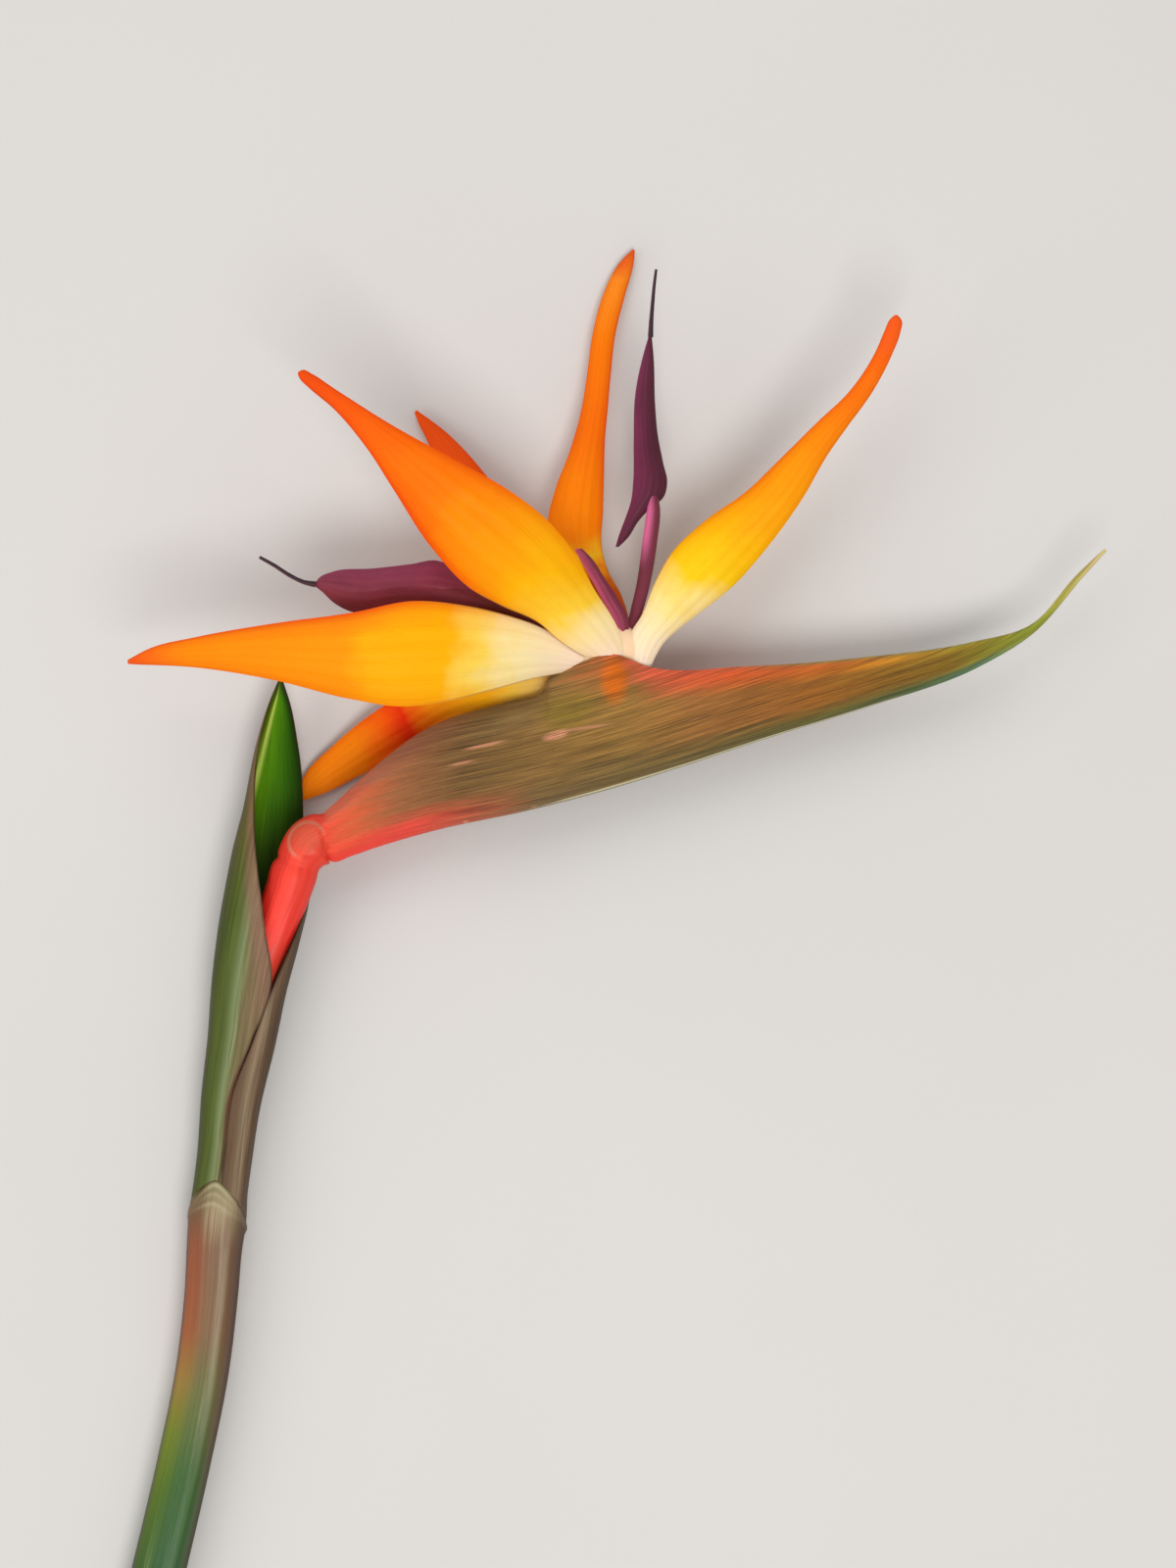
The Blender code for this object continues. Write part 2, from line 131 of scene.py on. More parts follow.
# Arrows: spine and radius of the stalk, and the two edges of the blade from its lobe to its tip
ARROWS = {
    "arrow_front": {
        "stalk": [(7.6, 81.4, 15.0, 1.0), (8.8, 89.5, 16.6, 1.3), (10.9, 98.0, 18.2, 1.5),
                  (12.4, 108.0, 19.2, 1.65), (13.1, 114.5, 19.7, 1.5), (12.6, 120.0, 20.0, 0.9)],
        "left": [(4.7, 106.2, 19.4), (5.6, 109.0, 19.6), (6.9, 112.4, 19.8), (8.2, 116.4, 20.0),
                 (8.7, 120.9, 20.1), (8.8, 129.6, 20.3), (9.2, 140.5, 20.6), (11.0, 149.1, 20.8),
                 (12.1, 153.0, 20.8)],
        "right": [(5.4, 106.2, 19.4), (7.4, 108.2, 19.6), (9.8, 112.0, 19.8), (12.4, 114.8, 20.0),
                  (15.4, 117.4, 20.1), (16.1, 120.4, 20.2), (15.2, 124.8, 20.3), (14.0, 131.0, 20.4),
                  (13.4, 138.0, 20.6), (13.1, 148.1, 20.8), (12.7, 153.0, 20.8)],
    },
    "arrow_back": {
        "stalk": [(-3.2, 82.0, 17.0, 1.1), (-9.8, 87.6, 20.4, 1.0), (-13.5, 89.4, 21.8, 1.1),
                  (-18.0, 91.2, 23.2, 1.3), (-25.0, 93.6, 24.8, 1.8), (-32.0, 95.6, 26.0, 2.3),
                  (-40.0, 97.2, 27.0, 1.0)],
        "left": [(-24.4, 97.4, 24.2), (-27.4, 98.4, 25.0), (-31.0, 101.4, 26.0), (-35.0, 102.9, 26.8),
                 (-40.4, 102.1, 27.4), (-49.0, 101.1, 28.0), (-57.6, 100.4, 28.4), (-60.4, 99.2, 28.6),
                 (-61.6, 97.9, 28.6)],
        "right": [(-24.4, 96.6, 24.2), (-27.0, 94.6, 25.0), (-30.0, 92.4, 25.6), (-35.4, 91.8, 26.4),
                  (-42.0, 92.4, 27.2), (-46.4, 92.0, 27.6), (-50.5, 91.2, 28.0), (-54.0, 91.8, 28.2),
                  (-57.4, 93.6, 28.4), (-60.2, 96.2, 28.6), (-61.6, 97.2, 28.6)],
    },
}
ARROW_SHAPE = {"crown": 0.34, "keel": 0.16, "thickness": 1.1}

# Styles: x, y, z of the centre and the radius
STYLES = {
    "style_front": [(12.45, 152.6, 20.8, 0.62), (12.6, 156.0, 20.9, 0.5), (12.9, 160.0, 21.0, 0.42),
                    (13.3, 164.4, 21.2, 0.36), (13.7, 167.6, 21.4, 0.3)],
    "style_back": [(-61.5, 97.6, 28.6, 0.7), (-64.0, 98.1, 28.8, 0.5), (-67.0, 99.5, 28.9, 0.45),
                   (-70.6, 101.8, 29.2, 0.42), (-73.8, 103.6, 29.4, 0.36)],
}

# Nectary petal, with the entries of a sepal
NECTARY = {
    "left": [(5.4, 84.0, 17.6), (4.5, 88.8, 19.4), (1.4, 95.0, 22.0), (-0.8, 99.2, 24.2),
             (-3.2, 103.4, 26.2), (-4.3, 105.3, 27.0)],
    "right": [(7.4, 84.0, 17.6), (7.4, 90.4, 19.8), (5.0, 95.0, 22.0), (2.2, 99.2, 24.0),
              (-0.6, 103.4, 26.0), (-2.8, 105.6, 26.9)],
    "crown": 0.3, "keel": 0.3, "thickness": 0.8,
}

# Stem: x, y, z of the centre and the radius, from the cut end to the knuckle
STEM = [
    (-110.6, -173.4, 6.0, 6.0), (-97.4, -122.0, 6.2, 5.95), (-91.8, -98.0, 6.4, 5.9),
    (-87.6, -77.0, 6.7, 5.9),
    (-85.6, -60.0, 7.2, 5.95), (-84.9, -50.0, 7.5, 6.15), (-84.4, -45.0, 7.7, 6.4), (-84.1, -42.0, 7.8, 6.4),
    (-83.7, -38.5, 7.9, 6.15), (-83.2, -34.0, 8.0, 5.8), (-82.6, -30.0, 8.2, 5.0), (-81.8, -24.0, 8.5, 4.7),
    (-80.2, -12.0, 8.9, 4.7), (-75.6, 10.0, 10.4, 4.8), (-70.4, 24.0, 11.8, 5.0), (-68.0, 30.5, 12.6, 5.2),
    (-67.0, 33.8, 12.9, 5.3), (-66.2, 36.4, 13.1, 4.8), (-65.2, 38.8, 13.2, 4.9), (-63.6, 41.0, 13.2, 5.0),
    (-61.4, 42.4, 13.2, 4.8), (-58.8, 43.0, 13.2, 4.3), (-55.4, 43.6, 13.2, 3.6), (-52.0, 44.4, 13.2, 2.6),
    (-50.4, 45.0, 13.2, 1.0),
]

# Relief of the stem. A height is negative where the stem is pressed in. A ring of the node has its y at the
# front, its drop per radian round and its height.
NODE_RINGS = [(-34.3, 6.2, 0.20), (-36.6, 5.0, 0.12), (-39.0, 3.6, 0.14)]
RING_WIDTH = 0.55
FRONT_TURN = 0.15           # radians from straight up to the front of the node, towards the left
FRONT_ROUNDING = 0.04
NECK_CREASE = (36.0, -0.45)         # y, height
JOINT_CREASE = (-60.2, -0.35)       # x, height
CREASE_WIDTH = 0.6
HEEL = (40.0, 3.2, 1.9)     # y, width and height of the swelling on the inner side of the bend
KNUCKLE = (-63.8, 41.0)
KNUCKLE_RADIUS = 4.9
DISC_RADIUS = 3.9           # the round scar that faces up on the knuckle
DISC_HEIGHT = 0.35

# Sheath: x, y, z of the axis, half width, half depth, angles in degrees of the front and the right margin
SHEATH = [
    (-83.6, -37.6, 7.9, 6.25, 6.2, 92.0, 448.0), (-82.6, -30.0, 8.3, 6.15, 6.1, 92.0, 448.0),
    (-81.0, -16.4, 8.8, 6.8, 6.2, 92.0, 448.0), (-78.6, -3.0, 9.5, 7.7, 6.6, 72.0, 428.0),
    (-76.7, 10.0, 10.4, 8.6, 7.0, 54.0, 408.0), (-74.6, 21.0, 10.6, 9.3, 7.4, 80.0, 388.0),
    (-72.7, 30.6, 10.4, 9.5, 7.4, 100.0, 364.0), (-72.0, 36.4, 10.2, 9.1, 7.2, 110.0, 326.0),
    (-70.9, 45.9, 9.8, 7.9, 6.6, 128.0, 318.0),
    (-70.6, 63.4, 9.4, 4.6, 3.8, 152.0, 340.0), (-70.2, 72.0, 9.2, 2.3, 1.8, 160.0, 350.0),
    (-70.0, 76.8, 9.0, 0.5, 0.5, 165.0, 345.0),
]
SHEATH_FOOT = (4.4, 5.6, 1.7)   # rise at the front, drop per radian round, angle at which the drop ends
SHEATH_WALL = 0.8

# Spathe: margin x, y; keel x, y; median z, half thickness, half gap between the two margins
SPATHE = [
    (-61.8, 45.0, -60.0, 36.9, 13.1, 3.9, 0.7), (-60.8, 46.4, -58.4, 36.3, 13.1, 4.7, 0.9),
    (-56.8, 50.2, -54.2, 37.5, 13.1, 5.8, 1.0), (-50.8, 55.8, -49.0, 39.3, 13.1, 7.4, 1.0),
    (-36.4, 66.4, -34.0, 43.6, 13.2, 10.4, 1.5), (-19.0, 72.0, -16.0, 47.4, 13.3, 12.4, 4.0),
    (-11.4, 74.2, -8.6, 49.2, 13.4, 12.9, 5.6), (-10.2, 77.2, -6.6, 49.7, 13.4, 13.0, 6.0),
    (-5.0, 79.6, -1.0, 51.2, 13.4, 13.2, 7.6), (3.6, 82.4, 8.0, 53.8, 13.4, 13.2, 8.0),
    (12.6, 79.5, 17.5, 56.8, 13.4, 12.4, 6.5), (34.0, 79.8, 38.0, 63.6, 13.5, 9.2, 1.4),
    (60.0, 81.8, 62.0, 71.1, 13.8, 5.8, 0.9), (84.0, 85.2, 85.5, 79.6, 14.2, 3.0, 0.6),
    (97.0, 89.0, 97.8, 87.2, 14.6, 1.1, 0.3), (107.4, 100.3, 108.6, 99.5, 15.0, 0.6, 0.15),
    (113.4, 105.9, 114.0, 105.5, 15.2, 0.35, 0.08),
]
SPATHE_WALL = 1.2
KEEL_PINCH = 0.3        # how far the flanks are pressed in beside the keel, as a share of the half thickness
PLEATS = (0.35, 9.0)    # near the base of the spathe: height, and how many in a full turn

# Flower bases: x, y, z of the centre and the half width; their depth is a share of that
BASE_DEPTH = 0.62
FLOWER_BASES = {
    "flower_base_front": [(-40.0, 49.0, 15.2, 2.4), (-20.0, 58.0, 14.8, 4.2), (-2.0, 70.0, 14.2, 7.4),
                          (1.2, 77.0, 14.4, 10.0), (2.6, 82.0, 14.8, 10.2), (4.8, 85.2, 15.6, 8.4),
                          (6.6, 87.6, 16.6, 6.4), (7.4, 88.8, 17.2, 3.8)],
    "flower_base_back": [(-40.0, 49.2, 10.2, 2.4), (-20.0, 59.5, 9.4, 3.2), (-8.6, 69.5, 11.4, 3.2),
                         (-5.0, 75.4, 14.2, 3.2), (-4.4, 78.0, 15.1, 2.8), (-4.2, 79.0, 15.4, 1.4)],
}

# Colours below are screen values 0..255; each stop is its place from 0 to 1 and its colour

# Sepals: stops from base to tip, rim colour, its strength at the left edge, middle and right edge, and the
# strength of the brown line near the base along the left and the right edge
SEPAL_LOOKS = {
    "sepal_left": (
        [(0.0, (255, 224, 200)), (0.07, (255, 228, 186)), (0.17, (255, 230, 166)), (0.26, (255, 212, 84)),
         (0.34, (255, 180, 0)), (0.48, (255, 174, 0)), (0.56, (255, 152, 0)), (0.85, (255, 138, 0)),
         (0.96, (255, 112, 14)), (1.0, (246, 90, 24))],
        (244, 84, 4), (0.45, 0.0, 1.0), (0.75, 0.75)),
    "sepal_front_left": (
        [(0.0, (255, 224, 196)), (0.08, (255, 226, 160)), (0.17, (255, 206, 56)), (0.28, (255, 184, 4)),
         (0.42, (255, 156, 0)), (0.56, (255, 126, 0)), (0.75, (255, 104, 0)), (1.0, (240, 76, 8))],
        (240, 66, 0), (0.9, 0.0, 0.6), (0.75, 0.0)),
    # The dark orange-brown stops at the base of sepal_centre are painted shade where the nectary petal lies
    # over it.
    "sepal_centre": (
        [(0.0, (150, 74, 20)), (0.15, (196, 84, 6)), (0.20, (250, 160, 20)), (0.24, (255, 196, 30)),
         (0.31, (255, 138, 0)), (0.6, (255, 114, 0)), (0.8, (255, 126, 0)), (0.93, (255, 140, 28)),
         (1.0, (236, 90, 24))],
        (238, 70, 0), (0.4, 0.0, 0.9), (0.75, 0.75)),
    "sepal_right": (
        [(0.0, (255, 230, 210)), (0.08, (255, 232, 186)), (0.17, (255, 226, 140)), (0.26, (255, 204, 16)),
         (0.36, (255, 186, 0)), (0.5, (255, 158, 0)), (0.7, (255, 132, 0)), (0.9, (255, 104, 6)),
         (1.0, (250, 90, 30))],
        (246, 90, 0), (0.8, 0.0, 0.2), (0.6, 0.3)),
    "sepal_behind": (
        [(0.0, (255, 200, 120)), (0.3, (255, 130, 10)), (0.62, (255, 96, 10)), (1.0, (250, 84, 8))],
        (240, 60, 0), (0.6, 0.1, 0.6), (0.75, 0.75)),
    # The dark red stop at 0.56 of sepal_low is painted shade in a fold across the sepal.
    "sepal_low": (
        [(0.0, (250, 206, 120)), (0.16, (255, 206, 70)), (0.30, (255, 180, 10)), (0.46, (255, 142, 0)),
         (0.56, (240, 46, 0)), (0.64, (255, 92, 0)), (0.74, (255, 136, 0)), (1.0, (255, 138, 6))],
        (236, 74, 0), (0.2, 0.0, 0.5), (0.75, 0.75)),
}

# Purple tissue: lit colour and shaded colour across the width (painted light and painted shade), how far the
# lit one keeps to the left (below 0), and a darker colour for the lower half where there is one
PURPLES = {
    "arrow_front": ((124, 40, 76), (78, 26, 42), -0.6, None),
    "arrow_front_stalk": ((232, 110, 158), (116, 42, 58), -1.0, (116, 42, 58)),
    "arrow_back": ((136, 50, 78), (124, 44, 54), -0.6, None),
    "arrow_back_stalk": ((130, 48, 66), (118, 40, 48), -1.0, (92, 26, 14)),
    "style": ((96, 56, 66), (44, 34, 40), -0.6, None),
    "nectary": ((226, 108, 146), (120, 40, 60), -0.8, None),
}

# Spathe: stops from base to tip for the keel, the flank and the margin, which share those of the whisker
SPATHE_STOPS = [
    [(0.0, (255, 66, 50)), (0.13, (252, 76, 60)), (0.20, (206, 96, 62)), (0.28, (134, 104, 58)),
     (0.45, (124, 102, 52)), (0.62, (108, 100, 40)), (0.74, (88, 108, 56)), (0.82, (96, 136, 96))],
    [(0.0, (250, 84, 60)), (0.05, (226, 100, 58)), (0.12, (168, 104, 62)), (0.20, (128, 94, 50)),
     (0.30, (146, 108, 54)), (0.40, (160, 118, 54)), (0.50, (162, 106, 50)), (0.62, (166, 102, 34)),
     (0.78, (140, 108, 28))],
    [(0.0, (240, 104, 80)), (0.10, (190, 116, 84)), (0.24, (140, 114, 66)), (0.33, (156, 118, 64)),
     (0.385, (186, 104, 52)), (0.44, (244, 108, 76)), (0.54, (240, 102, 46)), (0.64, (226, 118, 34)),
     (0.72, (210, 138, 30)), (0.81, (176, 154, 42))],
]
WHISKER_STOPS = [(0.885, (150, 160, 50)), (0.93, (196, 184, 84)), (1.0, (236, 208, 140))]

# Patches of colour: place, half size in millimetres, slope in degrees
ORANGE_PATCH = ((4.4, 76.8), (4.2, 7.2))            # on the spathe, below the flowers
OLIVE_PATCH = ((-6.0, 70.0), (9.0, 6.0), 20.0)      # on the spathe, left of the orange one
KNUCKLE_PATCH = ((-64.1, 41.8), (5.4, 5.0))

# Pale scars on the near flank of the spathe: place, half size, slope and strength
SPATHE_SCARS = [
    ((-8.5, 64.4), (4.0, 1.3), 16.0, 0.85),
    ((-2.0, 66.0), (8.0, 0.5), 9.0, 0.5),
    ((-24.2, 62.2), (6.2, 0.6), 12.0, 0.6),
    ((-29.4, 58.2), (3.8, 0.5), 12.0, 0.5),
    ((-28.6, 45.2), (0.9, 0.5), 15.0, 0.8),
    ((-13.4, 48.6), (1.2, 0.4), 15.0, 0.6),
    ((22.0, 68.0), (3.0, 0.3), 14.0, 0.3),
]

# Stem: stops from the cut end to the knuckle for left, middle and right, and of the cut from rim to centre
# Across the stem the colours are partly its own and partly painted light: the pale middle stop at 0.575 is a
# painted highlight, and the darker right is partly painted shade.
STEM_STOPS = [
    [(0.0, (52, 80, 44)), (0.22, (62, 96, 40)), (0.30, (88, 114, 28)), (0.36, (116, 130, 34)),
     (0.41, (158, 124, 56)), (0.46, (164, 92, 54)), (0.54, (152, 84, 52)), (0.575, (116, 86, 56)),
     (0.62, (92, 96, 52)), (0.78, (200, 74, 54)), (0.85, (236, 40, 30)), (1.0, (222, 72, 52))],
    [(0.0, (54, 96, 66)), (0.20, (48, 90, 50)), (0.32, (58, 98, 38)), (0.40, (104, 108, 56)),
     (0.46, (130, 98, 66)), (0.54, (132, 98, 72)), (0.575, (166, 146, 110)), (0.62, (110, 110, 66)),
     (0.78, (226, 90, 66)), (0.85, (255, 64, 50)), (1.0, (236, 78, 52))],
    [(0.0, (52, 86, 54)), (0.2, (56, 88, 52)), (0.30, (72, 92, 50)), (0.38, (102, 84, 56)),
     (0.45, (106, 74, 54)), (0.54, (98, 68, 50)), (0.62, (84, 78, 52)), (0.78, (206, 78, 56)),
     (0.85, (240, 52, 40)), (1.0, (226, 74, 50))],
]
PITH_STOPS = [(0.0, (84, 112, 56)), (0.10, (146, 164, 92)), (0.3, (186, 196, 132)), (1.0, (202, 206, 150))]

# Sheath: stops once round the outside from the front, and from margin to margin inside
# Outside, the pale stop at 0.905 is a painted highlight on the right flap, and the dark stops from 0.76 to
# 0.84 are painted shade at the sheath's right edge.
SHEATH_OUTSIDE_STOPS = [
    (0.0, (118, 104, 66)), (0.02, (120, 116, 74)), (0.045, (126, 138, 92)), (0.08, (90, 102, 48)),
    (0.12, (82, 94, 36)), (0.20, (66, 72, 26)), (0.5, (78, 80, 36)), (0.76, (70, 54, 34)),
    (0.84, (100, 76, 54)), (0.905, (146, 124, 98)), (0.945, (112, 88, 64)), (1.0, (96, 70, 50)),
]
# Inside, the pale stop at 0.37 is a painted highlight stripe, and the dark stops from 0.9 on are painted
# shade in the curl towards the right margin.
SHEATH_INSIDE_STOPS = [
    (0.0, (60, 84, 10)), (0.30, (112, 148, 14)), (0.37, (208, 234, 108)), (0.46, (90, 148, 0)),
    (0.72, (62, 118, 0)), (0.9, (38, 78, 0)), (1.0, (24, 42, 0)),
]

# Stage: place and size of each lamp in metres, watts
LAMPS = {
    "key": ((0.2, -0.55, 1.5), 0.8, 12.0),
    "fill": ((-0.2, 0.9, 1.1), 1.0, 5.5),
    "side": ((-1.1, -0.3, 0.9), 0.8, 3.5),
}
SKY_COLOUR = (0.9, 0.92, 0.95, 1.0)
SKY_STRENGTH = 0.45
FLOOR_REACH = 3.0


# ---------------------------------------------------------------- curves and meshes


def smooth_through(points, shares):
    """Values at shares 0..1 of a smooth curve through rows of numbers spaced by their distance apart."""
    rows = np.array(points, dtype=float)
    steps = np.linalg.norm(np.diff(rows[:, :3], axis=0), axis=1)
    knots = np.concatenate(([0.0], np.cumsum(steps))) / steps.sum()
    slopes = np.gradient(rows, knots, axis=0)
    shares = np.clip(np.asarray(shares, dtype=float), 0.0, 1.0)
    left = np.clip(np.searchsorted(knots, shares, side="right") - 1, 0, len(knots) - 2)
    span = (knots[left + 1] - knots[left])[:, None]
    t = (shares - knots[left])[:, None] / span
    return (rows[left] * (2 * t**3 - 3 * t**2 + 1)
            + slopes[left] * span * (t**3 - 2 * t**2 + t)
            + rows[left + 1] * (3 * t**2 - 2 * t**3)
            + slopes[left + 1] * span * (t**3 - t**2))


def unit(vectors):
    return vectors / np.maximum(np.linalg.norm(vectors, axis=-1, keepdims=True), 1e-9)


def smoothstep(low, high, value):
    t = np.clip((value - low) / (high - low), 0.0, 1.0)
    return t * t * (3.0 - 2.0 * t)


def bell(value, place, width):
    """1 where value is at place, falling off smoothly to both sides."""
    return np.exp(-((value - place) / width)**2)


def grid_normals(grid):
    """Unit normals of a grid of points."""
    return unit(np.cross(np.gradient(grid, axis=1), np.gradient(grid, axis=0)))


def add_mesh(name, vertices, faces, attributes, material):
    """A smooth-shaded piece from vertices in millimetres, with one float attribute per entry."""
    mesh = bpy.data.meshes.new(name)
    mesh.from_pydata((vertices * MM).tolist(), [], faces)
    mesh.validate()
    mesh.shade_smooth()
    mesh.set_sharp_from_angle(angle=SHARP_ANGLE)
    for key, values in attributes.items():
        layer = mesh.attributes.new(key, "FLOAT", "POINT")
        layer.data.foreach_set("value", np.asarray(values, dtype=np.float32).ravel())
    piece = bpy.data.objects.new(name, mesh)
    bpy.context.scene.collection.objects.link(piece)
    mesh.materials.append(material)
    mesh.calc_loop_triangles()
    corners = np.array([triangle.vertices[:] for triangle in mesh.loop_triangles])
    a, b, c = (vertices[corners[:, k]] for k in range(3))
    if np.einsum("ij,ij->i", a, np.cross(b, c)).sum() < 0.0:
        mesh.flip_normals()
    return piece


def strip(rows, columns, start, wrap=False):
    """Quads of a grid of vertices stored row by row."""
    last = columns if wrap else columns - 1
    return [
        (start + i * columns + j, start + i * columns + (j + 1) % columns,
         start + (i + 1) * columns + (j + 1) % columns, start + (i + 1) * columns + j)
        for i in range(rows - 1) for j in range(last)
    ]


def sheet(name, outer, inner, attributes, material):
    """A closed thin body between two grids of the same size; the attribute inner tells its faces apart."""
    rows, columns = outer.shape[:2]
    count = rows * columns
    faces = strip(rows, columns, 0) + [face[::-1] for face in strip(rows, columns, count)]
    border = (
        [(0, j) for j in range(columns)] + [(i, columns - 1) for i in range(1, rows)]
        + [(rows - 1, j) for j in range(columns - 2, -1, -1)] + [(i, 0) for i in range(rows - 2, 0, -1)]
    )
    rim = [i * columns + j for i, j in border]
    for a, b in zip(rim, rim[1:] + rim[:1]):
        faces.append((b, a, count + a, count + b))
    doubled = {key: np.concatenate((values.ravel(), values.ravel())) for key, values in attributes.items()}
    doubled["inner"] = np.repeat((0.0, 1.0), count)
    vertices = np.concatenate((outer.reshape(-1, 3), inner.reshape(-1, 3)))
    return add_mesh(name, vertices, faces, doubled, material)


def tube(name, stations, rows, material, relief=None, depth=1.0):
    """A closed round body.

    relief(share, angle, centres) returns what it adds to the radius, and a mark above 0 where the surface is
    pale and below 0 where it is dark. depth is the depth of the body as a share of its width."""
    along = smooth_through(stations, np.linspace(0.0, 1.0, rows))
    centres, radii = along[:, :3], along[:, 3]
    tangents = unit(np.gradient(centres, axis=0))
    across = unit(np.cross(tangents, (0.0, 0.0, 1.0)))
    upward = np.cross(across, tangents)
    angle = np.linspace(0.0, 2.0 * math.pi, TUBE_SIDES, endpoint=False)[None, :]
    share = np.linspace(0.0, 1.0, rows)[:, None]
    added, mark = relief(share, angle, centres) if relief else (0.0, 0.0)
    radius = radii[:, None] + added + 0.0 * angle
    rings = (centres[:, None]
             + across[:, None] * (radius * np.cos(angle))[..., None]
             + upward[:, None] * (depth * radius * np.sin(angle))[..., None])
    vertices = np.concatenate((rings.reshape(-1, 3), centres[:1], centres[-1:]))
    faces = strip(rows, TUBE_SIDES, 0, wrap=True)
    low, high = rows * TUBE_SIDES, rows * TUBE_SIDES + 1
    top = (rows - 1) * TUBE_SIDES
    for j in range(TUBE_SIDES):
        k = (j + 1) % TUBE_SIDES
        faces.append((low, k, j))
        faces.append((high, top + j, top + k))
    attributes = {
        "along": np.append((share + 0.0 * angle).ravel(), (0.0, 1.0)),
        "across": np.append((np.cos(angle) + 0.0 * share).ravel(), (0.0, 0.0)),
        "front": np.append((np.sin(angle) + 0.0 * share).ravel(), (0.0, 0.0)),
        "mark": np.append((mark + 0.0 * radius).ravel(), (0.0, 0.0)),
        "cut": np.append(0.0 * radius.ravel(), (1.0, 1.0)),
    }
    return add_mesh(name, vertices, faces, attributes, material)


def blade(name, shape, material):
    """A petal between two edges, arched and keeled across, thinning to its rims."""
    t = np.linspace(0.0, 1.0, PETAL_ROWS)
    left = smooth_through(shape["left"], t)[:, None]
    right = smooth_through(shape["right"], t)[:, None]
    u = np.sin(np.linspace(-0.5, 0.5, PETAL_COLUMNS) * math.pi)[None, :]
    half = np.linalg.norm(right - left, axis=-1) / 2.0
    middle = left + (right - left) * ((u + 1.0) / 2.0)[..., None]
    arch = shape["crown"] * half * (1.0 - u**2) + shape["keel"] * half * (1.0 - np.abs(u))**3
    phase = 11.0 * t[:, None] + 2.2 * np.sign(u) + 3.0 * shape["crown"]
    waves = PETAL_WAVES * half * u**2 * np.sin(phase)
    folds = PETAL_FOLDS * half * np.sin(5.0 * u * math.pi + 3.0 * t[:, None]) * (1.0 - u**2)
    middle[..., 2] += arch - shape["crown"] * half * 0.6 + waves + folds
    normals = grid_normals(middle)
    normals *= np.sign(normals[..., 2:3])
    taper = np.minimum(shape["thickness"], 0.8 * half) * (1.0 - 0.75 * np.abs(u)**3)
    offset = normals * (taper / 2.0)[..., None]
    attributes = {"along": t[:, None] + 0.0 * u, "across": u + 0.0 * t[:, None]}
    return sheet(name, middle + offset, middle - offset, attributes, material)


# ---------------------------------------------------------------- materials


def colour(red, green, blue):
    """Linear colour from screen values 0..255."""
    channels = []
    for value in (red, green, blue):
        value = value / 255.0
        channels.append(value / 12.92 if value <= 0.04045 else ((value + 0.055) / 1.055) ** 2.4)
    return (*channels, 1.0)


